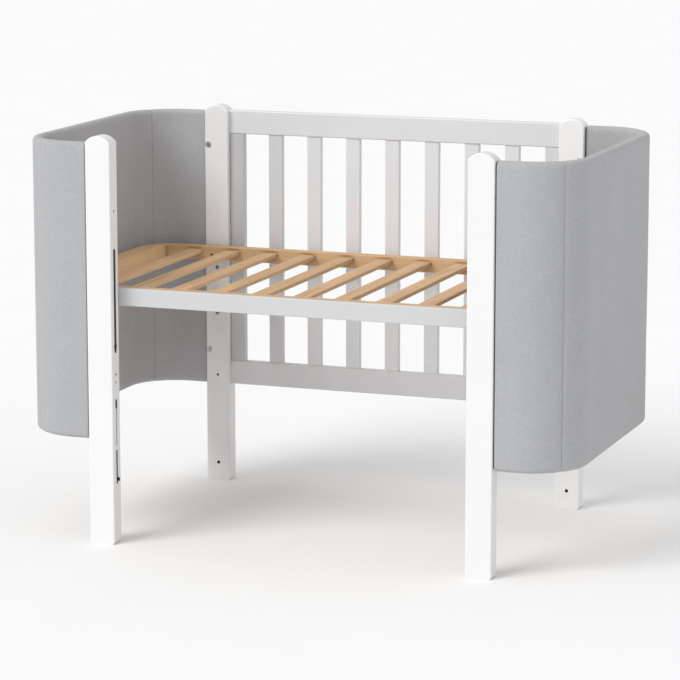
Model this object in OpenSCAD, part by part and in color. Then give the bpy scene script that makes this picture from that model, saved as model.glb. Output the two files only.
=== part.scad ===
// Toddler bed with curved padded ends, a barred back and a slatted base
// that can be fixed at four heights. Millimetres, +Z up, X along the length,
// front at -Y, origin on the floor under the centre of the bed.

/* [Overall] */
// Overall length over the two curved ends
bed_length = 1257; // [1247:5:1297]
// Overall depth over the posts
bed_depth = 698; // [690:2:720]
// Height of the posts
post_h = 892; // [880:1:900]

/* [Posts] */
// Width of a post, seen from the front
post_w = 58; // [54:1:62]
// Depth of a post, front to back
post_d = 38; // [36:1:42]
// Distance of a post's centre from the middle of the bed
post_x = 428.5; // [420:0.5:440]
// Rise of the arched post top
post_crown = 15; // [10:1:20]
// Rounding of the foot corners
foot_r = 6; // [3:1:9]
// Rounding of the long edges and of the arch
post_r = 3; // [2:0.5:4]

/* [Curved ends] */
// Lowest edge of the padded end panels
end_z0 = 230; // [225:1:240]
// Highest edge of the padded end panels
end_z1 = 877; // [865:1:880]
// Thickness of a padded end panel
end_t = 24; // [22:1:26]
// Outer corner radius of an end panel in plan
end_r = 125; // [115:1:130]
// Setback of the fabric behind the face of the posts
end_set = 4; // [2:1:6]
// Rounding of the upper and lower rims of an end panel
rim_r = 9; // [6:1:10]
// Thickness of the fabric cover
cover_t = 1.5; // [1:0.5:2]
// Thickness of the bent core
core_t = 9; // [7:1:10]

/* [Back] */
// Face of the back rails behind the inner face of the rear posts
back_set = 12; // [8:1:14]
// Thickness of the back rails and stiles
back_t = 20; // [18:1:22]
// Lowest edge of the top rail
back_top_z0 = 825; // [815:1:835]
// Highest edge of the top rail
back_top_z1 = 880; // [870:1:884]
// Lowest edge of the bottom rail
back_bot_z0 = 232; // [225:1:240]
// Highest edge of the bottom rail
back_bot_z1 = 288; // [280:1:300]
// Width of a back slat
back_slat_w = 35; // [30:1:40]
// Thickness of a back slat
back_slat_t = 13; // [12:1:15]
// Rounding of the edges of rails, stiles and slats
back_r = 3; // [2:0.5:4]

/* [Base] */
// Top of the base frame at its highest level
base_top = 564; // [558:1:570]
// Height of the base rails
base_h = 32; // [30:1:34]
// Width of the rear base rail
base_rail_w = 27; // [25:1:30]
// Width of the front base rail
front_rail_w = 22; // [20:1:26]
// Width of the base end rails
base_end_w = 45; // [40:1:50]
// Half length of the base
base_hx = 589; // [580:1:592]
// Half depth of the base
base_hy = 305; // [300:1:306]
// Corner radius of the base in plan
base_r = 84; // [80:1:90]
// Width of a base slat
slat_w = 37; // [32:1:40]
// Thickness of a base slat
slat_t = 9; // [8:1:12]
// Distance of the slats below the tops of the rear and end rails
slat_drop = 7; // [6:1:9]
// Distance of the front rail and the board below the tops of the other rails
front_drop = 4; // [3:1:6]
// Thickness of the painted front board
board_t = 8; // [6:1:8]
// Height of the painted front board
board_h = 39; // [34:1:42]
// Rounding of the edges of the base rails and the board
edge_r = 2; // [1:0.5:2.5]
// Rounding of the edges of the base slats
slat_r = 3; // [2:0.5:3]

/* [Hidden] */
$fn = 64;

e = 0.01;
hx = bed_length / 2;
hy = bed_depth / 2;
post_y = hy - post_d / 2;         // centre of a post, front to back
post_in = post_x - post_w / 2;    // face of a post towards the middle
post_out = post_x + post_w / 2;   // face of a post towards the curved end
post_face = hy - post_d;          // face of a post towards the bed's inside

end_y = hy - end_set;             // outer face of the fabric, front and back
batten_w = 30;                    // timber at each end of the bent core
foam_t = (end_t - 2 * cover_t - core_t) / 2;
cam_z = [314, 798];               // heights of the end-panel fixings
cam_x = post_out - 9;
dowel_y = end_y - end_t / 2;
dowel_r = 4;
cam_r = 7.5;
cam_deep = 5.5;                   // how far a cam lock reaches past its dowel's axis

back_y = post_face + back_set;    // front face of the back rails
back_pitch = (post_in - back_slat_w / 2) / 4;
back_slat_y = back_y + (back_t - back_slat_t) / 2;
back_bolt_z = [260, 852];
tenon = 10;

base_bot = base_top - base_h;
rear_in = base_hy - base_rail_w;          // inner face of the rear rail
front_out = hy - post_d - 5;              // face of the painted board
front_wood = front_out - board_t;         // outer face of the front rail
front_in = front_wood - front_rail_w;      // inner face of the front rail
rail_x = base_hx - base_end_w;            // inner face of an end rail
board_top = base_top - front_drop;
slat_top = base_top - slat_drop;
slat_pitch = slat_w + (2 * rail_x - 11 * slat_w) / 12;
corner_bolt_y = front_wood - 13.5;
corner_bolt_x = base_hx - 38;             // seat of a corner bolt's head
screw_z = base_top - 19;                  // height of the lock screws
levels = [0, -35, -143, -291];            // base heights, from the highest
lock_in = 16;                             // travel of a lock screw

white = [0.95, 0.95, 0.94];
felt = [0.60, 0.60, 0.60];
oak = [0.80, 0.64, 0.47];
ply = [0.83, 0.72, 0.55];
foamc = [0.93, 0.90, 0.78];
steel = [0.62, 0.63, 0.65];

// ---------- shared shapes ----------
// a rectangle with round corners, centred
module rrect(x, y, r) {
  union() {
    square([x, y - 2 * r], center = true);
    square([x - 2 * r, y], center = true);
    for (sx = [-1, 1], sy = [-1, 1])
      translate([sx * (x / 2 - r), sy * (y / 2 - r)]) circle(r = r);
  }
}
// plan of a U-shaped layer of the right-hand end, between two offsets
// measured inwards from the fabric's outer face, from x0 outwards
module u_plan(a, b, x0) {
  intersection() {
    difference() {
      rrect(2 * (hx - a), 2 * (end_y - a), end_r - a);
      rrect(2 * (hx - b), 2 * (end_y - b), end_r - b);
    }
    translate([x0, -end_y - 10]) square([hx, 2 * end_y + 20]);
  }
}
module side(s) { if (s > 0) children(); else mirror([1, 0, 0]) children(); }
module bar(x0, x1, y0, y1, z0, z1) {
  translate([x0, y0, z0]) cube([x1 - x0, y1 - y0, z1 - z0]);
}
// bars with rounded long edges, along each axis
module bar_x(x0, x1, y0, y1, z0, z1, r) {
  translate([x0, (y0 + y1) / 2, (z0 + z1) / 2]) rotate([90, 0, 90])
    linear_extrude(height = x1 - x0) rrect(y1 - y0, z1 - z0, r);
}
module bar_y(x0, x1, y0, y1, z0, z1, r) {
  translate([(x0 + x1) / 2, y1, (z0 + z1) / 2]) rotate([90, 0, 0])
    linear_extrude(height = y1 - y0) rrect(x1 - x0, z1 - z0, r);
}
module bar_z(x0, x1, y0, y1, z0, z1, r) {
  translate([(x0 + x1) / 2, (y0 + y1) / 2, z0])
    linear_extrude(height = z1 - z0) rrect(x1 - x0, y1 - y0, r);
}
module rod_x(x0, x1, y, z, r) {
  translate([x0, y, z]) rotate([0, 90, 0]) cylinder(r = r, h = x1 - x0);
}
module rod_y(x, y0, y1, z, r) {
  translate([x, y0, z]) rotate([-90, 0, 0]) cylinder(r = r, h = y1 - y0);
}
module rod_z(x, y, z0, z1, r) {
  translate([x, y, z0]) cylinder(r = r, h = z1 - z0);
}

// ---------- posts ----------
// front elevation of a post with rounded foot corners, straight at the top
module post_foot_shape() {
  union() {
    translate([-post_w / 2, foot_r]) square([post_w, post_h]);
    translate([-post_w / 2 + foot_r, 0]) square([post_w - 2 * foot_r, foot_r + 1]);
    for (s = [-1, 1]) translate([s * (post_w / 2 - foot_r), foot_r]) circle(r = foot_r);
  }
}
// disc that gives the arched top its curve and its rounded edges
module post_arch(ra) {
  rotate([90, 0, 0]) rotate_extrude() union() {
    translate([0, -post_d / 2]) square([ra - post_r, post_d]);
    translate([0, -post_d / 2 + post_r]) square([ra, post_d - 2 * post_r]);
    for (s = [-1, 1]) translate([ra - post_r, s * (post_d / 2 - post_r)]) circle(r = post_r);
  }
}
module post_blank(yc) {
  ra = (post_w * post_w / 4 + post_crown * post_crown) / (2 * post_crown);
  zs = post_h - ra - 1 + sqrt(max(0, (ra - post_r) * (ra - post_r) - post_w * post_w / 4));
  translate([post_x, yc, 0]) intersection() {
    linear_extrude(height = post_h + 1) rrect(post_w, post_d, post_r);
    translate([0, post_d / 2 + 1, 0]) rotate([90, 0, 0])
      linear_extrude(height = post_d + 2) post_foot_shape();
    union() {
      translate([-post_w / 2 - 1, -post_d / 2 - 1, -1]) cube([post_w + 2, post_d + 2, zs + 1]);
      translate([0, 0, post_h - ra]) post_arch(ra);
    }
  }
}
// bores shared by every post; s is -1 for a front post and 1 for a rear one
module post_bores(s) {
  // sleeves for the lock screws, one for each base level
  for (l = levels) {
    if (s > 0) rod_y(post_x, post_face - e, post_face + 14, screw_z + l, 5);
    else rod_y(post_x, -post_face - 14, -post_face + e, screw_z + l, 5);
  }
  for (z = cam_z) {
    rod_x(post_out - 15, post_out + e, s * dowel_y, z, dowel_r);
    if (s > 0) rod_y(cam_x, post_face - e, dowel_y + cam_deep, z, cam_r);
    else rod_y(cam_x, -dowel_y - cam_deep, -post_face + e, z, cam_r);
  }
}
// groove, slots and holes for a clip-on front side, in a front post's inner face
module side_track() {
  y = -post_y;
  x = post_in;
  rod_x(x - e, x + 14, y, 730, 3);
  for (z = [427, 643]) rod_x(x - e, x + 8, y, z, 6);
  bar(x - e, x + 8, y - 6, y + 6, 427, 643);
  rod_x(x - e, x + 8, y, 436, 8);
  for (z = [357, 374]) rod_x(x - e, x + 14, y, z, 3);
  for (z = [303, 315]) rod_x(x - e, x + 10, y, z, 5);
  bar(x - e, x + 10, y - 5, y + 5, 303, 315);
  bar(x - e, x + 2, y - 2, y + 2, 218, 299);
  for (z = [136, 205]) rod_x(x - e, x + 8, y, z, 4);
  bar(x - e, x + 8, y - 4, y + 4, 136, 205);
  // the hooked lower end of the slot
  translate([x - e, y + 6, 136]) rotate([0, 90, 0]) rotate([0, 0, -90])
    intersection() {
      difference() { cylinder(r = 10, h = 8); translate([0, 0, -1]) cylinder(r = 2, h = 10); }
      translate([-14, -14, -1]) cube([28, 14, 10]);
    }
}
module front_post() {
  difference() {
    post_blank(-post_y);
    post_bores(-1);
    side_track();
  }
}
module rear_post() {
  difference() {
    post_blank(post_y);
    post_bores(1);
    // open bore in the foot, facing the inside of the bed
    rod_y(post_x, post_face - e, post_face + 20, 42, 4);
    // through bores for the back-rail bolts, with room for their heads
    for (z = back_bolt_z) {
      rod_x(post_in - e, post_out + e, back_y + back_t / 2, z, 3.25);
      rod_x(post_out - 8, post_out + e, back_y + back_t / 2, z, 6);
    }
  }
}
module post_front_left() { color(white) side(-1) front_post(); }
module post_front_right() { color(white) side(1) front_post(); }
module post_rear_left() { color(white) side(-1) rear_post(); }
module post_rear_right() { color(white) side(1) rear_post(); }

// ---------- curved ends ----------
core_x0 = post_out + cover_t + batten_w;
// section of an end panel, inset by a, at its height above the floor
module end_section(a) {
  translate([0, (end_z0 + end_z1) / 2])
    rrect(end_t - 2 * a, end_z1 - end_z0 - 2 * a, rim_r - a);
}
// the U of the right-hand end, inset by a, with its two legs starting at x0
module end_sweep(a, x0) {
  rm = end_r - end_t / 2;
  cx = hx - end_r;
  cy = end_y - end_r;
  union() {
    for (s = [-1, 1]) {
      translate([cx, s * cy, 0]) rotate([0, 0, s > 0 ? 0 : -90])
        rotate_extrude(angle = 90) translate([rm, 0]) end_section(a);
      translate([x0, s * (cy + rm), 0]) rotate([90, 0, 90])
        linear_extrude(height = cx - x0) end_section(a);
    }
    translate([cx + rm, cy, 0]) rotate([90, 0, 0])
      linear_extrude(height = 2 * cy) end_section(a);
  }
}
// the part of the padding between two offsets from the fabric's outer face
module end_layer(a, b) {
  intersection() {
    end_sweep(cover_t, core_x0);
    translate([0, 0, end_z0 - 1])
      linear_extrude(height = end_z1 - end_z0 + 2) u_plan(a, b, core_x0 - 5);
  }
}
module end_core() { end_layer(cover_t + foam_t, end_t - cover_t - foam_t); }
module end_foam_outer() { end_layer(-1, cover_t + foam_t); }
module end_foam_inner() { end_layer(end_t - cover_t - foam_t, end_t + 1); }
module end_cover() {
  difference() {
    end_sweep(0, post_out);
    end_sweep(cover_t, post_out + cover_t);
    for (sy = [-1, 1], z = cam_z)
      rod_x(post_out - 1, post_out + cover_t + 1, sy * dowel_y, z, dowel_r);
  }
}
module end_batten(s) {
  x0 = post_out + cover_t;
  y0 = s > 0 ? 100 : -end_y - 1;
  difference() {
    intersection() {
      end_sweep(cover_t, x0);
      bar(x0 - 1, x0 + batten_w, y0, y0 + end_y - 99, end_z0 - 1, end_z1 + 1);
    }
    for (z = cam_z) rod_x(x0 - e, x0 + 22, s * dowel_y, z, dowel_r);
  }
}
module left_end_core() { color(ply) side(-1) end_core(); }
module left_end_foam_outer() { color(foamc) side(-1) end_foam_outer(); }
module left_end_foam_inner() { color(foamc) side(-1) end_foam_inner(); }
module left_end_cover() { color(felt) side(-1) end_cover(); }
module left_end_batten_front() { color(ply) side(-1) end_batten(-1); }
module left_end_batten_rear() { color(ply) side(-1) end_batten(1); }
module right_end_core() { color(ply) side(1) end_core(); }
module right_end_foam_outer() { color(foamc) side(1) end_foam_outer(); }
module right_end_foam_inner() { color(foamc) side(1) end_foam_inner(); }
module right_end_cover() { color(felt) side(1) end_cover(); }
module right_end_batten_front() { color(ply) side(1) end_batten(-1); }
module right_end_batten_rear() { color(ply) side(1) end_batten(1); }

// eight steel dowels: screwed into the battens, held in the posts by cam locks
module end_panel_dowels() {
  color(steel) for (sx = [-1, 1]) side(sx)
    for (sy = [-1, 1], z = cam_z)
      rod_x(post_out - 15, post_out + cover_t + 22, sy * dowel_y, z, dowel_r);
}
module end_panel_cam_locks() {
  color(steel) for (sx = [-1, 1]) side(sx)
    for (sy = [-1, 1], z = cam_z)
      difference() {
        if (sy > 0) rod_y(cam_x, post_face + 0.5, dowel_y + cam_deep, z, cam_r);
        else rod_y(cam_x, -dowel_y - cam_deep, -post_face - 0.5, z, cam_r);
        // cross bore that takes the end of the dowel
        rod_x(post_out - 15, post_out + 1, sy * dowel_y, z, dowel_r);
        // ring groove round the raised middle, and its hexagonal key socket
        translate([cam_x, sy * (post_face + 0.5), z]) rotate([90, 0, 0]) difference() {
          cylinder(r = 6.7, h = 3, center = true);
          cylinder(r = 4.4, h = 4, center = true);
        }
        translate([cam_x, sy * (post_face + 3), z]) rotate([90, 0, 0])
          cylinder(r = 2.3, h = 7, center = true, $fn = 6);
      }
}

// ---------- back ----------
module back_rail(z0, z1, up) {
  difference() {
    bar_x(-post_in, post_in, back_y, back_y + back_t, z0, z1, back_r);
    // mortises for the seven slats
    for (i = [-3:3]) bar_z(i * back_pitch - back_slat_w / 2, i * back_pitch + back_slat_w / 2,
        back_slat_y, back_slat_y + back_slat_t,
        up ? z1 - tenon : z0 - e, up ? z1 + e : z0 + tenon, back_r);
    // end bores for the bolts, and cross bores for the barrel nuts
    zb = up ? back_bolt_z[0] : back_bolt_z[1];
    for (s = [-1, 1]) side(s) {
      rod_x(post_in - 45, post_in + e, back_y + back_t / 2, zb, 3.25);
      rod_y(post_in - 36, back_y + 3, back_y + back_t + e, zb, 5);
    }
  }
}
module back_top_rail() { color(white) back_rail(back_top_z0, back_top_z1, false); }
module back_bottom_rail() { color(white) back_rail(back_bot_z0, back_bot_z1, true); }
module stile() {
  bar_z(post_in - back_slat_w, post_in, back_y, back_y + back_t, back_bot_z1, back_top_z0, back_r);
}
module back_stile_left() { color(white) side(-1) stile(); }
module back_stile_right() { color(white) side(1) stile(); }
module back_slat(i) {
  color(white) bar_z((i - 4) * back_pitch - back_slat_w / 2, (i - 4) * back_pitch + back_slat_w / 2,
    back_slat_y, back_slat_y + back_slat_t, back_bot_z1 - tenon, back_top_z0 + tenon, back_r);
}
module back_rail_bolts() {
  color(steel) for (s = [-1, 1]) side(s) for (z = back_bolt_z) difference() {
    union() {
      rod_x(post_in - 42, post_out - 8 + e, back_y + back_t / 2, z, 3);
      rod_x(post_out - 8, post_out - 2, back_y + back_t / 2, z, 5);
    }
    translate([post_out - 5, back_y + back_t / 2, z]) rotate([0, 90, 0]) cylinder(r = 2.9, h = 4, $fn = 6);
  }
}
module back_barrel_nuts() {
  color(steel) for (s = [-1, 1]) side(s) for (z = back_bolt_z) difference() {
    rod_y(post_in - 36, back_y + 3, back_y + back_t - 1, z, 5);
    rod_x(post_in - 43, post_in - 29, back_y + back_t / 2, z, 3);
  }
}

// ---------- fittings in the posts for the base ----------
module level_sleeves() {
  color(steel) for (sx = [-1, 1]) side(sx) for (sy = [-1, 1], l = levels) difference() {
    if (sy > 0) rod_y(post_x, post_face, post_face + 14, screw_z + l, 5);
    else rod_y(post_x, -post_face - 14, -post_face, screw_z + l, 5);
    if (sy > 0) rod_y(post_x, post_face - 1, post_face + 12, screw_z + l, 3.3);
    else rod_y(post_x, -post_face - 12, -post_face + 1, screw_z + l, 3.3);
  }
}

// ---------- base ----------
module base_outline() { rrect(2 * base_hx, 2 * base_hy, base_r); }
// tenons of one slat, smaller than the slat all round, so that it has shoulders
module slat_tenons(x) {
  bar_y(x - slat_w / 2 + 3, x + slat_w / 2 - 3, -front_in - tenon, rear_in + tenon,
    slat_top - slat_t + 2, slat_top - 2, 1.5);
}
module mortises() {
  for (i = [-5:5]) slat_tenons(i * slat_pitch);
}
// section of the base frame from its corner's centre outwards, rounded outside
module edge_profile() {
  union() {
    square([base_r - edge_r, base_h]);
    translate([0, edge_r]) square([base_r, base_h - 2 * edge_r]);
    for (z = [edge_r, base_h - edge_r]) translate([base_r - edge_r, z]) circle(r = edge_r);
  }
}
// quarter disc at a right-hand corner of the base; s is 1 at the rear
module base_corner(s) {
  translate([base_hx - base_r, s * (base_hy - base_r), base_bot])
    rotate([0, 0, s > 0 ? 0 : -90]) rotate_extrude(angle = 90) edge_profile();
}
module end_rail() {
  difference() {
    intersection() {
      union() {
        for (s = [-1, 1]) base_corner(s);
        translate([base_hx - base_r, base_hy - base_r, base_bot]) rotate([90, 0, 0])
          linear_extrude(height = 2 * (base_hy - base_r)) edge_profile();
      }
      bar_y(rail_x, base_hx + 20, -base_hy - 1, base_hy + 1, base_bot, base_top, edge_r);
    }
    for (s = [-1, 1]) {
      rod_x(rail_x - e, corner_bolt_x + e, s * corner_bolt_y, screw_z, 3.25);
      rod_x(corner_bolt_x, base_hx, s * corner_bolt_y, screw_z, 7.5);
    }
  }
}
module base_end_rail_left() { color(oak) side(-1) end_rail(); }
module base_end_rail_right() { color(oak) side(1) end_rail(); }
// bores for the corner bolts and their barrel nuts
module rail_joint_bores(y) {
  for (s = [-1, 1]) side(s) {
    rod_x(rail_x - 42, rail_x + e, y, screw_z, 3.25);
    rod_z(rail_x - 32, y, base_bot - e, screw_z + 7, 5);
  }
}
module base_rear_rail() {
  cx = base_hx - base_r;
  color(oak) difference() {
    union() {
      bar_x(-cx, cx, rear_in, base_hy, base_bot, base_top, edge_r);
      for (s = [-1, 1]) side(s) intersection() {
        base_corner(1);
        bar_x(cx, rail_x, rear_in, base_hy + 20, base_bot, base_top, edge_r);
      }
    }
    mortises();
    rail_joint_bores(corner_bolt_y);
    for (s = [-1, 1]) side(s) {
      rod_y(post_x, rear_in - e, base_hy + e, screw_z, 3.1);
      rod_y(post_x, base_hy - 15, base_hy + e, screw_z, 5);
    }
  }
}
module base_front_rail() {
  color(oak) difference() {
    intersection() {
      bar_x(-rail_x, rail_x, -front_wood, -front_in, base_bot, board_top, edge_r);
      translate([0, 0, base_bot - 1]) linear_extrude(height = base_h + 2) base_outline();
    }
    mortises();
    rail_joint_bores(-corner_bolt_y);
    for (s = [-1, 1]) side(s) {
      rod_y(post_x, -front_wood - e, -front_in + e, screw_z, 3.1);
      rod_y(post_x, -front_wood - e, -front_wood + 14, screw_z, 5);
      for (i = [1.5, 3.5]) board_screw(i, 0.1);
    }
  }
}
// painted board that closes the front of the base
module base_front_board() {
  color(white) difference() {
    intersection() {
      bar_x(-rail_x + 3, rail_x - 3, -front_out, -front_wood, board_top - board_h, board_top, edge_r);
      bar_z(-rail_x + 3, rail_x - 3, -front_out, -front_wood, board_top - board_h - 1, board_top + 1, edge_r);
    }
    for (s = [-1, 1]) side(s) {
      rod_y(post_x, -front_out - e, -front_wood + e, screw_z, 3.6);
      for (i = [1.5, 3.5]) board_screw(i, 0);
    }
  }
}
module board_screw(i, c) {
  x = i * slat_pitch;
  rod_y(x, -front_out + 2, -front_in - 2, screw_z, 1.9 + c);
  translate([x, -front_in, screw_z]) rotate([90, 0, 0])
    cylinder(r1 = 4 + c, r2 = 1.9 + c, h = 3);
}
module base_board_screws() {
  color(steel) for (s = [-1, 1]) side(s) for (i = [1.5, 3.5]) difference() {
    board_screw(i, 0);
    translate([i * slat_pitch, -front_in, screw_z]) rotate([90, 0, 0])
      for (a = [0, 90]) rotate([0, 0, a]) translate([-2, -0.4, -e]) cube([4, 0.8, 1.5]);
  }
}
module base_slat(i) {
  x = (i - 6) * slat_pitch;
  color(oak) union() {
    bar_y(x - slat_w / 2, x + slat_w / 2, -front_in, rear_in, slat_top - slat_t, slat_top, slat_r);
    slat_tenons(x);
  }
}
module base_corner_bolts() {
  color(steel) for (sx = [-1, 1]) side(sx) for (s = [-1, 1]) difference() {
    union() {
      rod_x(rail_x - 40, corner_bolt_x + e, s * corner_bolt_y, screw_z, 3);
      rod_x(corner_bolt_x, corner_bolt_x + 6, s * corner_bolt_y, screw_z, 5.5);
    }
    translate([corner_bolt_x + 3, s * corner_bolt_y, screw_z]) rotate([0, 90, 0])
      cylinder(r = 2.9, h = 4, $fn = 6);
  }
}
module base_barrel_nuts() {
  color(steel) for (sx = [-1, 1]) side(sx) for (s = [-1, 1]) difference() {
    rod_z(rail_x - 32, s * corner_bolt_y, base_bot + 1, screw_z + 7, 5);
    rod_x(rail_x - 38, rail_x - 26, s * corner_bolt_y, screw_z, 3);
  }
}
// threaded sleeves that the lock screws run in
module base_screw_inserts() {
  color(steel) for (sx = [-1, 1]) side(sx) {
    difference() {
      rod_y(post_x, base_hy - 15, base_hy, screw_z, 5);
      rod_y(post_x, base_hy - 16, base_hy + 1, screw_z, 3.06);
    }
    difference() {
      rod_y(post_x, -front_wood, -front_wood + 14, screw_z, 5);
      rod_y(post_x, -front_wood - 1, -front_wood + 15, screw_z, 3.06);
    }
  }
}

// ---------- lock screws ----------
// headless screws, drawn backed off flush inside the base; wound out they
// reach into the sleeves of the posts
module lock_screw(y0, y1, key) {
  difference() {
    rod_y(post_x, y0, y1, screw_z, 3);
    translate([post_x, key, screw_z]) rotate([90, 0, 0])
      cylinder(r = 1.7, h = 8, center = true, $fn = 6);
  }
}
module lock_screw_front() { lock_screw(-front_out + 1.5, -front_in - 0.5, -front_in - 0.5); }
module lock_screw_rear() { lock_screw(rear_in + 0.5, base_hy - 0.5, rear_in + 0.5); }
module lock_screw_front_left() { color(steel) side(-1) lock_screw_front(); }
module lock_screw_front_right() { color(steel) side(1) lock_screw_front(); }
module lock_screw_rear_left() { color(steel) side(-1) lock_screw_rear(); }
module lock_screw_rear_right() { color(steel) side(1) lock_screw_rear(); }

post_front_left();
post_front_right();
post_rear_left();
post_rear_right();
left_end_core();
left_end_foam_outer();
left_end_foam_inner();
left_end_cover();
left_end_batten_front();
left_end_batten_rear();
right_end_core();
right_end_foam_outer();
right_end_foam_inner();
right_end_cover();
right_end_batten_front();
right_end_batten_rear();
end_panel_dowels();
end_panel_cam_locks();
back_top_rail();
back_bottom_rail();
back_stile_left();
back_stile_right();
back_slat(1);  // back_slat_1
back_slat(2);  // back_slat_2
back_slat(3);  // back_slat_3
back_slat(4);  // back_slat_4
back_slat(5);  // back_slat_5
back_slat(6);  // back_slat_6
back_slat(7);  // back_slat_7
back_rail_bolts();
back_barrel_nuts();
level_sleeves();
base_end_rail_left();
base_end_rail_right();
base_rear_rail();
base_front_rail();
base_front_board();
base_slat(1);  // base_slat_01
base_slat(2);  // base_slat_02
base_slat(3);  // base_slat_03
base_slat(4);  // base_slat_04
base_slat(5);  // base_slat_05
base_slat(6);  // base_slat_06
base_slat(7);  // base_slat_07
base_slat(8);  // base_slat_08
base_slat(9);  // base_slat_09
base_slat(10);  // base_slat_10
base_slat(11);  // base_slat_11
base_corner_bolts();
base_barrel_nuts();
base_board_screws();
base_screw_inserts();
lock_screw_front_left();
lock_screw_front_right();
lock_screw_rear_left();
lock_screw_rear_right();
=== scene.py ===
import math

import bpy
import numpy as np
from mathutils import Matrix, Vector, noise


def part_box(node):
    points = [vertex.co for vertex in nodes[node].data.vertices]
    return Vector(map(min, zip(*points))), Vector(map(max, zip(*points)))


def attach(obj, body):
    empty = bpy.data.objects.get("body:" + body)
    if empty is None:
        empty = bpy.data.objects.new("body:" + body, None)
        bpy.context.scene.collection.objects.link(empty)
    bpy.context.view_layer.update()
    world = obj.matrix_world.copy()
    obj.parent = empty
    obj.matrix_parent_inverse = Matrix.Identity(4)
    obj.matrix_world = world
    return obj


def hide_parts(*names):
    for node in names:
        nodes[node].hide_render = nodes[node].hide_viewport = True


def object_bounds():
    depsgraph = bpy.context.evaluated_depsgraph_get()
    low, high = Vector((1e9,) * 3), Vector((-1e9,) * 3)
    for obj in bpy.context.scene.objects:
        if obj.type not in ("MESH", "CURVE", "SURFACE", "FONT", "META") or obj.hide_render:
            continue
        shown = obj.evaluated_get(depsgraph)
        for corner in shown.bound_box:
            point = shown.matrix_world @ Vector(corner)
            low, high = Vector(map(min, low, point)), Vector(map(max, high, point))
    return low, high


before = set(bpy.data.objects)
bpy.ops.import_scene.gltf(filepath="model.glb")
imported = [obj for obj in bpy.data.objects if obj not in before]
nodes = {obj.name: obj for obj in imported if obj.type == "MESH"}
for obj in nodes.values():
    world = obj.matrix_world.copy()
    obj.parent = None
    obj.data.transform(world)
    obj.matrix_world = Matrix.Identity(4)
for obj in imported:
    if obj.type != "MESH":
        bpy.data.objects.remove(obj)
cad_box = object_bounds()
scene = bpy.context.scene

# ------------------------------------------------------------------ camera
cam_data = bpy.data.cameras.new("camera")
cam_data.lens = 162.73
cam_data.sensor_width = 36.0
cam_data.clip_end = 200.0
cam = bpy.data.objects.new("camera", cam_data)
cam.location = (2.3129113, -6.2657980, 1.6566478)
cam.rotation_euler = (math.radians(79.495), 0.0, math.radians(20.311))
scene.collection.objects.link(cam)
scene.camera = cam

scene.view_settings.view_transform = "Standard"
scene.view_settings.look = "None"
scene.view_settings.exposure = 0.0
scene.view_settings.gamma = 1.0

# ------------------------------------------------------------------ light
world = bpy.data.worlds.new("studio")
world.use_nodes = True
world.node_tree.nodes["Background"].inputs["Color"].default_value = (1.0, 1.0, 1.0, 1.0)
world.node_tree.nodes["Background"].inputs["Strength"].default_value = 0.70
scene.world = world


def sun(name, towards, strength, angle):
    data = bpy.data.lights.new(name, "SUN")
    data.energy = strength
    data.angle = angle
    obj = bpy.data.objects.new(name, data)
    obj.rotation_euler = Vector(towards).to_track_quat("Z", "Y").to_euler()
    scene.collection.objects.link(obj)
    return obj


sun("key", (-0.44, -0.66, 0.62), 1.70, 0.60)
sun("fill", (0.94, -0.20, 0.26), 0.16, 0.90)


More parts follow.
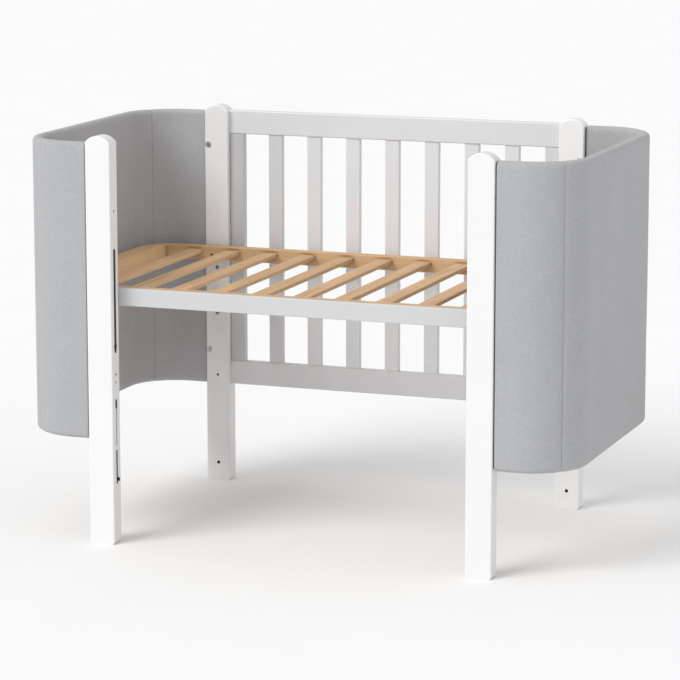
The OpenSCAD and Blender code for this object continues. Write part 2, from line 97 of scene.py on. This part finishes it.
# ------------------------------------------------------------------ node helpers
class Graph:
    """A short way to write shader nodes."""

    def __init__(self, name):
        self.mat = bpy.data.materials.new(name)
        self.mat.use_nodes = True
        self.tree = self.mat.node_tree
        self.tree.nodes.clear()
        self.out = self.node("ShaderNodeOutputMaterial")
        self.bsdf = self.node("ShaderNodeBsdfPrincipled")
        self.link(self.bsdf.outputs[0], self.out.inputs["Surface"])

    def node(self, kind, **props):
        n = self.tree.nodes.new(kind)
        for k, v in props.items():
            setattr(n, k, v)
        return n

    def link(self, a, b):
        self.tree.links.new(a, b)

    def put(self, socket, value):
        if isinstance(value, bpy.types.NodeSocket):
            self.link(value, socket)
        else:
            socket.default_value = value

    def coords(self, scale=(1, 1, 1), offset=(0, 0, 0)):
        tc = self.node("ShaderNodeTexCoord")
        mp = self.node("ShaderNodeMapping")
        mp.inputs["Scale"].default_value = scale
        mp.inputs["Location"].default_value = offset
        self.link(tc.outputs["Object"], mp.inputs["Vector"])
        return mp.outputs["Vector"]

    def math(self, op, a, b=None, c=None, clamp=False):
        n = self.node("ShaderNodeMath", operation=op, use_clamp=clamp)
        for i, v in enumerate((a, b, c)):
            if v is not None:
                self.put(n.inputs[i], v)
        return n.outputs[0]

    def vmath(self, op, a, b=None, scale=None):
        n = self.node("ShaderNodeVectorMath", operation=op)
        self.put(n.inputs[0], a)
        if b is not None:
            self.put(n.inputs[1], b)
        if scale is not None:
            self.put(n.inputs["Scale"], scale)
        return n.outputs["Value"] if op in ("DOT_PRODUCT", "LENGTH", "DISTANCE") else n.outputs["Vector"]

    def noise(self, vec, scale, detail=2.0, rough=0.5, distort=0.0, colour=False):
        n = self.node("ShaderNodeTexNoise")
        self.link(vec, n.inputs["Vector"])
        n.inputs["Scale"].default_value = scale
        n.inputs["Detail"].default_value = detail
        n.inputs["Roughness"].default_value = rough
        n.inputs["Distortion"].default_value = distort
        return n.outputs["Color" if colour else "Fac"]

    def ramp(self, fac, stops, interp="LINEAR"):
        n = self.node("ShaderNodeValToRGB")
        cr = n.color_ramp
        cr.interpolation = interp
        while len(cr.elements) > 1:
            cr.elements.remove(cr.elements[-1])
        for i, (p, c) in enumerate(stops):
            e = cr.elements[0] if i == 0 else cr.elements.new(p)
            e.position = p
            e.color = (*c, 1.0) if len(c) == 3 else c
        self.link(fac, n.inputs["Fac"])
        return n.outputs["Color"]

    def span(self, fac, a0, a1, b0, b1, smooth=False):
        n = self.node("ShaderNodeMapRange")
        n.interpolation_type = "SMOOTHSTEP" if smooth else "LINEAR"
        self.put(n.inputs["Value"], fac)
        for k, v in (("From Min", a0), ("From Max", a1), ("To Min", b0), ("To Max", b1)):
            n.inputs[k].default_value = v
        return n.outputs["Result"]

    def mix(self, fac, a, b, blend="MIX"):
        n = self.node("ShaderNodeMix", data_type="RGBA", blend_type=blend)
        self.put(n.inputs["Factor"], fac)
        for s, v in ((n.inputs[6], a), (n.inputs[7], b)):
            self.put(s, v if isinstance(v, bpy.types.NodeSocket) else (*v, 1.0))
        return n.outputs[2]

    def bump(self, height, strength, distance, normal=None):
        n = self.node("ShaderNodeBump")
        n.inputs["Strength"].default_value = strength
        n.inputs["Distance"].default_value = distance
        self.link(height, n.inputs["Height"])
        if normal is not None:
            self.link(normal, n.inputs["Normal"])
        return n.outputs["Normal"]

    def scaled(self, fac):
        """A grey colour from a value."""
        n = self.node("ShaderNodeCombineColor")
        for i in range(3):
            self.link(fac, n.inputs[i])
        return n.outputs[0]

    def inside(self, axis, low, high):
        """1 where the absolute value of that object coordinate lies between low and high."""
        tc = self.node("ShaderNodeTexCoord")
        sp = self.node("ShaderNodeSeparateXYZ")
        self.link(tc.outputs["Object"], sp.inputs[0])
        v = self.math("ABSOLUTE", sp.outputs["XYZ".index(axis)])
        return self.math("MULTIPLY", self.math("GREATER_THAN", v, low), self.math("LESS_THAN", v, high))


# ------------------------------------------------------------------ materials
def lacquer(name, tone, seed, bores=None, rough=0.36):
    """Satin white lacquer over wood. bores is a box, in absolute coordinates, in which the walls of holes show bare
    wood, coloured far darker than bare wood as painted shade inside the holes.
    """
    g = Graph(name)
    v = g.coords(offset=(seed * 1.7, seed * 0.9, seed * 2.3))
    cloud = g.noise(v, 5.0, 3.0, 0.55)
    fine = g.noise(v, 900.0, 2.0, 0.5)
    peel = g.noise(v, 260.0, 2.0, 0.5)
    base = g.mix(g.span(cloud, 0.3, 0.7, 0.0, 1.0), [c * 0.975 for c in tone], tone)
    base = g.mix(0.5, base, g.scaled(g.span(fine, 0.25, 0.75, 0.95, 1.0)), "MULTIPLY")
    r = g.span(g.noise(v, 40.0, 3.0, 0.6), 0.3, 0.7, rough - 0.05, rough + 0.06)
    if bores:
        (x0, x1), (y0, y1), (z0, z1) = bores
        m = g.math("MULTIPLY", g.math("MULTIPLY", g.inside("X", x0, x1), g.inside("Y", y0, y1)), g.inside("Z", z0, z1))
        # bare wood on the hole walls, darkened well below bare wood's own colour: painted shade inside the holes
        wood = g.mix(g.noise(g.coords((1, 1, 0.08)), 500.0, 3.0, 0.6), (0.085, 0.070, 0.055), (0.14, 0.12, 0.10))
        base = g.mix(m, base, wood)
        r = g.math("MAXIMUM", r, g.math("MULTIPLY", m, 0.8))
    g.put(g.bsdf.inputs["Base Color"], base)
    g.put(g.bsdf.inputs["Roughness"], r)
    g.bsdf.inputs["Coat Weight"].default_value = 0.12
    g.bsdf.inputs["Coat Roughness"].default_value = 0.22
    n = g.bump(peel, 0.10, 0.00025)
    n = g.bump(fine, 0.05, 0.0001, n)
    g.put(g.bsdf.inputs["Normal"], n)
    return g.mat


def beech(name, grain, seed, tone=1.0, warm=0.0):
    """Bare sanded beech with its grain along X or Y."""
    g = Graph(name)
    long = {"x": (0.045, 1, 1), "y": (1, 0.045, 1), "z": (1, 1, 0.045)}[grain]
    off = (seed * 3.17, seed * 1.31, seed * 0.77)
    v = g.coords(long, off)
    warp = g.noise(g.coords((1, 1, 1), off), 4.0, 2.0, 0.5, colour=True)
    v2 = g.vmath("ADD", v, g.vmath("SCALE", g.vmath("SUBTRACT", warp, (0.5, 0.5, 0.5)), scale=0.022))
    rings = g.noise(v2, 62.0, 3.0, 0.55, 0.35)
    fibre = g.noise(v2, 620.0, 3.0, 0.62)
    fleck_v = g.coords({"x": (0.16, 1, 1), "y": (1, 0.16, 1), "z": (1, 1, 0.16)}[grain], off)
    fleck = g.noise(fleck_v, 1150.0, 1.0, 0.5)
    cloud = g.noise(g.coords({"x": (0.3, 1, 1), "y": (1, 0.3, 1), "z": (1, 1, 0.3)}[grain], off), 9.0, 2.0, 0.5)
    k = tone
    light = (0.735 * k, 0.488 * k, 0.284 * k)
    mid = (0.655 * k, 0.413 * k, (0.226 - warm) * k)
    dark = (0.520 * k, 0.302 * k, (0.147 - warm) * k)
    base = g.ramp(rings, [(0.28, dark), (0.44, mid), (0.60, light), (0.78, mid)])
    base = g.mix(g.span(cloud, 0.3, 0.7, 0.0, 0.55), base, mid)
    base = g.mix(1.0, base, g.scaled(g.span(fibre, 0.25, 0.75, 0.86, 1.06)), "MULTIPLY")
    base = g.mix(g.span(fleck, 0.60, 0.70, 0.0, 0.40), base, (0.47 * k, 0.27 * k, 0.13 * k))
    # end grain is darker, where the surface faces along the grain
    tc = g.node("ShaderNodeTexCoord")
    axis = {"x": (1, 0, 0), "y": (0, 1, 0), "z": (0, 0, 1)}[grain]
    facing = g.math("ABSOLUTE", g.vmath("DOT_PRODUCT", tc.outputs["Normal"], axis))
    base = g.mix(g.span(facing, 0.55, 0.97, 0.0, 0.55, True), base, (0.46 * k, 0.285 * k, 0.155 * k))
    # painted shade: faces that do not point up are darkened by their normal, so the sides read darker than the flat
    # tops
    upright = g.math("ABSOLUTE", g.vmath("DOT_PRODUCT", tc.outputs["Normal"], (0, 0, 1)))
    base = g.mix(g.span(upright, 0.25, 0.92, 0.42, 0.0, True), base, (0.47 * k, 0.285 * k, 0.145 * k))
    # painted shade: ambient occlusion darkens the wood in the corners of the joints, standing in for contact shadow
    ao = g.node("ShaderNodeAmbientOcclusion", samples=8)
    ao.inputs["Distance"].default_value = 0.055
    corner = g.math("MULTIPLY", g.span(ao.outputs["AO"], 0.25, 0.90, 0.70, 0.0, True), g.span(upright, 0.3, 0.9, 1.0, 0.12))
    base = g.mix(corner, base, (0.15 * k, 0.085 * k, 0.045 * k))
    g.put(g.bsdf.inputs["Base Color"], base)
    g.put(g.bsdf.inputs["Roughness"], g.span(fibre, 0.3, 0.7, 0.50, 0.64))
    g.bsdf.inputs["Specular IOR Level"].default_value = 0.35
    n = g.bump(fibre, 0.22, 0.00022)
    n = g.bump(rings, 0.10, 0.0006, n)
    g.put(g.bsdf.inputs["Normal"], n)
    return g.mat


def felt(name, tone, seed):
    """Fine wool felt: matted fibres, slightly mottled."""
    g = Graph(name)
    off = (seed * 2.1, seed * 0.7, seed * 1.9)
    v = g.coords(offset=off)
    bend = g.noise(v, 260.0, 2.0, 0.5, colour=True)
    v2 = g.vmath("ADD", v, g.vmath("SCALE", g.vmath("SUBTRACT", bend, (0.5, 0.5, 0.5)), scale=0.006))
    fibre_a = g.noise(g.vmath("MULTIPLY", v2, (1.0, 1.0, 0.22)), 1500.0, 3.0, 0.65)
    fibre_b = g.noise(g.vmath("MULTIPLY", v2, (0.25, 0.25, 1.0)), 1500.0, 3.0, 0.65)
    fibres = g.math("MULTIPLY", g.math("ADD", fibre_a, fibre_b), 0.5)
    mott = g.noise(v, 130.0, 4.0, 0.6)
    cloud = g.noise(v, 7.0, 3.0, 0.55)
    k = g.math("MULTIPLY", g.span(fibres, 0.30, 0.70, 0.84, 1.14), g.span(mott, 0.3, 0.7, 0.955, 1.045))
    k = g.math("MULTIPLY", k, g.span(cloud, 0.3, 0.7, 0.975, 1.025))
    base = g.mix(1.0, tone, g.scaled(k), "MULTIPLY")
    g.put(g.bsdf.inputs["Base Color"], base)
    g.bsdf.inputs["Roughness"].default_value = 0.94
    g.bsdf.inputs["Specular IOR Level"].default_value = 0.18
    g.bsdf.inputs["Sheen Weight"].default_value = 0.18
    g.bsdf.inputs["Sheen Roughness"].default_value = 0.55
    g.bsdf.inputs["Sheen Tint"].default_value = (0.9, 0.9, 0.9, 1.0)
    n = g.bump(fibres, 0.45, 0.0005)
    n = g.bump(mott, 0.18, 0.0009, n)
    g.put(g.bsdf.inputs["Normal"], n)
    return g.mat


def metal(name, tone, rough, seed):
    g = Graph(name)
    v = g.coords(offset=(seed, seed * 2, seed * 3))
    spots = g.noise(v, 420.0, 3.0, 0.6)
    cloud = g.noise(v, 90.0, 2.0, 0.5)
    base = g.mix(g.span(cloud, 0.3, 0.7, 0.0, 1.0), [c * 0.90 for c in tone], tone)
    g.put(g.bsdf.inputs["Base Color"], base)
    g.bsdf.inputs["Metallic"].default_value = 1.0
    g.put(g.bsdf.inputs["Roughness"], g.span(spots, 0.3, 0.7, rough - 0.06, rough + 0.08))
    g.put(g.bsdf.inputs["Normal"], g.bump(spots, 0.10, 0.0001))
    return g.mat


def ply(name):
    """Edge and face of birch plywood."""
    g = Graph(name)
    v = g.coords((1, 1, 0.05))
    grain = g.noise(v, 300.0, 3.0, 0.6)
    layers = g.noise(g.coords((1, 1, 0.0)), 420.0, 1.0, 0.5)
    base = g.mix(g.span(layers, 0.42, 0.58, 0.0, 1.0), (0.60, 0.46, 0.29), (0.74, 0.61, 0.42))
    base = g.mix(1.0, base, g.scaled(g.span(grain, 0.3, 0.7, 0.88, 1.05)), "MULTIPLY")
    g.put(g.bsdf.inputs["Base Color"], base)
    g.bsdf.inputs["Roughness"].default_value = 0.7
    g.put(g.bsdf.inputs["Normal"], g.bump(grain, 0.2, 0.0003))
    return g.mat


def foam(name):
    """Open-cell foam."""
    g = Graph(name)
    n = g.node("ShaderNodeTexVoronoi")
    g.link(g.coords(), n.inputs["Vector"])
    n.inputs["Scale"].default_value = 700.0
    d = n.outputs["Distance"]
    g.put(g.bsdf.inputs["Base Color"], g.mix(g.span(d, 0.2, 0.8, 0.0, 1.0), (0.88, 0.83, 0.66), (0.62, 0.57, 0.42)))
    g.bsdf.inputs["Roughness"].default_value = 0.95
    g.put(g.bsdf.inputs["Normal"], g.bump(d, 0.5, 0.0006))
    return g.mat


def dark_end_strip_material(name):
    """Dark grey colour for the recessed ends of the padding, in the narrow gap between the felt and the posts."""
    g = Graph(name)
    v = g.coords()
    ribs = g.math("SINE", g.math("MULTIPLY", g.vmath("DOT_PRODUCT", v, (0, 0, 1)), 3200.0))
    fuzz = g.noise(v, 1300.0, 2.0, 0.6)
    k = g.math("MULTIPLY", g.span(ribs, -1.0, 1.0, 0.82, 1.08), g.span(fuzz, 0.3, 0.7, 0.85, 1.1))
    g.put(g.bsdf.inputs["Base Color"], g.mix(1.0, (0.190, 0.190, 0.193), g.scaled(k), "MULTIPLY"))
    g.bsdf.inputs["Roughness"].default_value = 0.9
    g.bsdf.inputs["Specular IOR Level"].default_value = 0.2
    g.put(g.bsdf.inputs["Normal"], g.bump(ribs, 0.3, 0.0003))
    return g.mat


def wear(name, mat):
    """Gives a CAD node its material."""
    obj = nodes[name]
    if not obj.data.materials:
        obj.data.materials.append(mat)
    for i in range(len(obj.material_slots)):
        obj.material_slots[i].link = "OBJECT"
        obj.material_slots[i].material = mat


WHITE = (0.835, 0.837, 0.840)
# painted shade: the back panel's white lacquer darkened for the shade inside the bed
BACK_SHADED_WHITE = (0.695, 0.706, 0.722)
post_box = ((0.4007, 0.4563), (0.3122, 0.3478), (0.008, 0.866))
# painted light and shade: each post gets its own brightness of the same white lacquer, lighter or darker by how the
# light falls on it
for i, (n, k) in enumerate((("post_front_left", 0.985), ("post_front_right", 0.975), ("post_rear_left", 0.97), ("post_rear_right", 1.06))):
    wear(n, lacquer("lacquer_" + n, [c * k for c in WHITE], i + 1, post_box))
# painted shade: the left stile and the first slat are darker where the post and the left end cast shadow; the other
# back parts are lighter or darker by how the light falls
for i, (n, k) in enumerate((("back_top_rail", 1.03), ("back_bottom_rail", 1.0), ("back_stile_left", 0.78), ("back_stile_right", 0.97))):
    wear(n, lacquer("lacquer_" + n, [c * k for c in BACK_SHADED_WHITE], i + 7))
for i in range(1, 8):
    wear("back_slat_%d" % i, lacquer("lacquer_back_slat_%d" % i, [c * (0.92 if i == 1 else 1.05 + 0.003 * i) for c in BACK_SHADED_WHITE], i + 13))
# painted shade: the white front board is given a grey tone, and its screw holes are darkened
wear("base_front_board", lacquer("lacquer_board", (0.590, 0.594, 0.596), 31, ((0.0, 0.54), (0.299, 0.3052), (0.53, 0.556)), 0.42))

# painted light: the left end rail is made lighter to offset the shade the left padded end casts on it
wear("base_end_rail_left", beech("beech_end_rail_left", "y", 1.0, 1.22))
wear("base_end_rail_right", beech("beech_end_rail_right", "y", 2.4, 0.98))
wear("base_rear_rail", beech("beech_rear_rail", "x", 3.3, 1.00))
wear("base_front_rail", beech("beech_front_rail", "x", 4.7, 0.98))
# painted light: the 0.055 * max(0, 4 - i) term lightens the slats nearest the left end against its cast shade; the rest
# of the spread varies from slat to slat
for i in range(1, 12):
    wear("base_slat_%02d" % i, beech("beech_slat_%02d" % i, "y", 5.0 + i * 1.37, 0.95 + 0.016 * ((i * 3) % 5) + 0.055 * max(0, 4 - i), 0.004 * ((i * 7) % 3 - 1)))

zinc = metal("zinc_plate", (0.66, 0.67, 0.69), 0.34, 1.0)
for n in ("end_panel_dowels", "end_panel_cam_locks", "back_rail_bolts", "back_barrel_nuts", "level_sleeves",
          "base_corner_bolts", "base_barrel_nuts", "base_board_screws", "base_screw_inserts"):
    wear(n, zinc)
screw = metal("black_oxide", (0.22, 0.22, 0.23), 0.42, 4.0)
for n in ("lock_screw_front_left", "lock_screw_front_right", "lock_screw_rear_left", "lock_screw_rear_right"):
    wear(n, screw)
ply_mat, foam_mat = ply("birch_ply"), foam("foam")
for sd in ("left", "right"):
    wear(sd + "_end_core", ply_mat)
    wear(sd + "_end_batten_front", ply_mat)
    wear(sd + "_end_batten_rear", ply_mat)
    wear(sd + "_end_foam_outer", foam_mat)
    wear(sd + "_end_foam_inner", foam_mat)

# ------------------------------------------------------------------ padded ends
FELT = (0.410, 0.414, 0.424)
THICK = 0.024       # thickness of a padded end
CORNER = 0.125      # outer corner radius in plan
RIM = 0.0108        # rounding of the rims
GAP = 0.0026        # gap between the felt and a post, where the dark grey recessed end of the padding sits


def end_path(x0, hx, hy):
    """Points along the middle of the right-hand U, from the rear post round to the front one: x, y, outward normal, distance to the nearest seam, distance from the nearest end."""
    cx, cy, rm = hx - CORNER, hy - CORNER, CORNER - THICK / 2
    leg, arc, flat = cx - x0, math.pi / 2 * rm, 2 * cy
    total = 2 * leg + 2 * arc + flat
    seams = (leg + arc * 49 / 90, total - leg - arc * 47 / 90)
    marks = set()
    for d in (0.0, 0.0003, 0.0008, 0.0016, 0.0026, 0.0038, 0.0052, 0.0075, 0.011):
        marks.update((d, total - d))
    for c in seams:
        for d in (0.0, 0.00035, 0.0007, 0.0011, 0.0016, 0.0023, 0.0033, 0.0047, 0.0066, 0.009, 0.0122, 0.016):
            marks.update((c - d, c + d))
    s = 0.0
    while s < total:
        near = min(abs(s - c) for c in seams)
        if near > 0.018 and 0.013 < s < total - 0.013:
            marks.add(s)
        s += 0.0074
    rows = []
    for s in sorted(marks):
        if s < leg:
            x, y, nx, ny = x0 + s, hy - THICK / 2, 0.0, 1.0
        elif s < leg + arc:
            a = math.pi / 2 - (s - leg) / rm
            nx, ny = math.cos(a), math.sin(a)
            x, y = cx + rm * nx, cy + rm * ny
        elif s < leg + arc + flat:
            x, y, nx, ny = hx - THICK / 2, cy - (s - leg - arc), 1.0, 0.0
        elif s < total - leg:
            a = -(s - leg - arc - flat) / rm
            nx, ny = math.cos(a), math.sin(a)
            x, y = cx + rm * nx, -cy + rm * ny
        else:
            x, y, nx, ny = x0 + (total - s), -hy + THICK / 2, 0.0, -1.0
        seam = min(((s - c) for c in seams), key=abs)
        rows.append((x, y, nx, ny, seam, min(s, total - s), s))
    return rows


def section(half, z0, z1, r):
    """Closed outline of a padded end: offset from the middle, height, and the outline's own outward direction."""
    pts = []
    steps = 7

    def arc(cn, cz, a0):
        for i in range(steps + 1):
            a = a0 + math.pi / 2 * i / steps
            pts.append((cn + r * math.cos(a), cz + r * math.sin(a), math.cos(a), math.sin(a)))

    count = 54
    arc(half - r, z1 - r, 0.0)
    pts.append((0.0, z1, 0.0, 1.0))
    arc(-half + r, z1 - r, math.pi / 2)
    for i in range(1, count):
        pts.append((-half, z1 - r + (z0 + 2 * r - z1) * i / count, -1.0, 0.0))
    arc(-half + r, z0 + r, math.pi)
    pts.append((0.0, z0, 0.0, -1.0))
    arc(half - r, z0 + r, 1.5 * math.pi)
    for i in range(1, count):
        pts.append((half, z0 + r + (z1 - z0 - 2 * r) * i / count, 1.0, 0.0))
    return pts


def padded_end(side, felt_mat, dark_end_mat, seed):
    sign = -1.0 if side == "left" else 1.0
    low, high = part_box(side + "_end_cover")
    hx = max(abs(low.x), abs(high.x))
    hy = high.y
    post = min(abs(low.x), abs(high.x))
    z0, z1 = low.z, high.z
    rows = end_path(post + GAP, hx, hy)
    verts, faces, dark = [], [], []
    rings = []

    def ring(x, y, nx, ny, seam, end, s):
        # the end by the post closes down: more in height than in thickness
        u = max(0.0, 0.0052 - end)
        dz = 0.0052 - math.sqrt(max(0.0, 0.0052 ** 2 - u * u))
        u = max(0.0, 0.0030 - end)
        dn = 0.0030 - math.sqrt(max(0.0, 0.0030 ** 2 - u * u))
        half = THICK / 2 - dn * 0.62
        pts = section(half, z0 + dz, z1 - dz, RIM - dn * 0.5)
        tight = math.exp(-(seam / 0.0008) ** 2)
        soft = math.exp(-(seam / 0.0065) ** 2)
        start = len(verts)
        for n, z, on, oz in pts:
            flat = abs(on)
            depth = tight * (0.0006 + 0.0009 * flat) + soft * (0.0003 + 0.0007 * flat)
            # gathers beside the seam, and slow unevenness of the padding
            p = Vector((s * 9.0 + seed, z * 70.0, on * 3.0))
            depth += (noise.noise(p) * 0.00028) * math.exp(-(abs(seam) / 0.011)) * (1 - tight)
            q = Vector((s * 7.0 + seed * 2, z * 6.0, on * 2.0 + oz))
            rise = noise.noise(q) * 0.00055 * flat * min(1.0, end / 0.02)
            n2 = n + on * (rise - depth)
            z2 = z + oz * (rise - depth)
            verts.append((sign * (x + nx * n2), y + ny * n2, z2))
        rings.append(list(range(start, len(verts))))

    def neck(x, y, ny):
        pts = section(THICK / 2 - 0.0031, z0 + 0.0045, z1 - 0.0045, RIM - 0.0035)
        start = len(verts)
        for n, z, on, oz in pts:
            verts.append((sign * x, y + ny * n, z))
        rings.append(list(range(start, len(verts))))

    first, last = rows[0], rows[-1]
    neck(post + 0.0001, first[1], first[3])
    neck(first[0] + 0.0002, first[1], first[3])
    for row in rows:
        ring(*row)
    neck(last[0] + 0.0002, last[1], last[3])
    neck(post + 0.0001, last[1], last[3])
    m = len(rings[0])
    for k in range(len(rings) - 1):
        a, b = rings[k], rings[k + 1]
        for i in range(m):
            j = (i + 1) % m
            f = (a[i], b[i], b[j], a[j])
            faces.append(f if sign > 0 else f[::-1])
            dark.append(k < 2 or k >= len(rings) - 3)
    faces.append(tuple(rings[0]) if sign > 0 else tuple(reversed(rings[0])))
    dark.append(True)
    faces.append(tuple(reversed(rings[-1])) if sign > 0 else tuple(rings[-1]))
    dark.append(True)
    mesh = bpy.data.meshes.new(side + "_end_padding")
    mesh.from_pydata(verts, [], faces)
    mesh.validate()
    mesh.materials.append(felt_mat)
    mesh.materials.append(dark_end_mat)
    for p, d in zip(mesh.polygons, dark):
        p.use_smooth = True
        p.material_index = 1 if d else 0
    import bmesh
    bm = bmesh.new()
    bm.from_mesh(mesh)
    bmesh.ops.recalc_face_normals(bm, faces=bm.faces)
    bm.to_mesh(mesh)
    bm.free()
    obj = bpy.data.objects.new(side + "_end_padding", mesh)
    scene.collection.objects.link(obj)
    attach(obj, "frame")
    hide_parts(side + "_end_cover", side + "_end_foam_outer", side + "_end_foam_inner",
                side + "_end_batten_front", side + "_end_batten_rear")
    return obj


dark_end_mat = dark_end_strip_material("dark_end_strip")
left_pad = padded_end("left", felt("felt_left", FELT, 1.0), dark_end_mat, 3.0)
right_pad = padded_end("right", felt("felt_right", FELT, 2.0), dark_end_mat, 11.0)

# ------------------------------------------------------------------ floor
g = Graph("floor")
v = g.coords()
g.put(g.bsdf.inputs["Base Color"], g.mix(g.span(g.noise(v, 3.0, 3.0, 0.5), 0.3, 0.7, 0.0, 1.0), (0.920, 0.920, 0.920), (0.930, 0.930, 0.930)))
g.bsdf.inputs["Roughness"].default_value = 0.9
g.bsdf.inputs["Specular IOR Level"].default_value = 0.1
mesh = bpy.data.meshes.new("floor")
R = 60.0
ringv = [(R * math.cos(2 * math.pi * i / 96), R * math.sin(2 * math.pi * i / 96), 0.0) for i in range(96)]
mesh.from_pydata(ringv, [], [tuple(range(96))])
mesh.materials.append(g.mat)
floor = bpy.data.objects.new("floor", mesh)
scene.collection.objects.link(floor)
floor.location.z = cad_box[0][2] - 0.0002
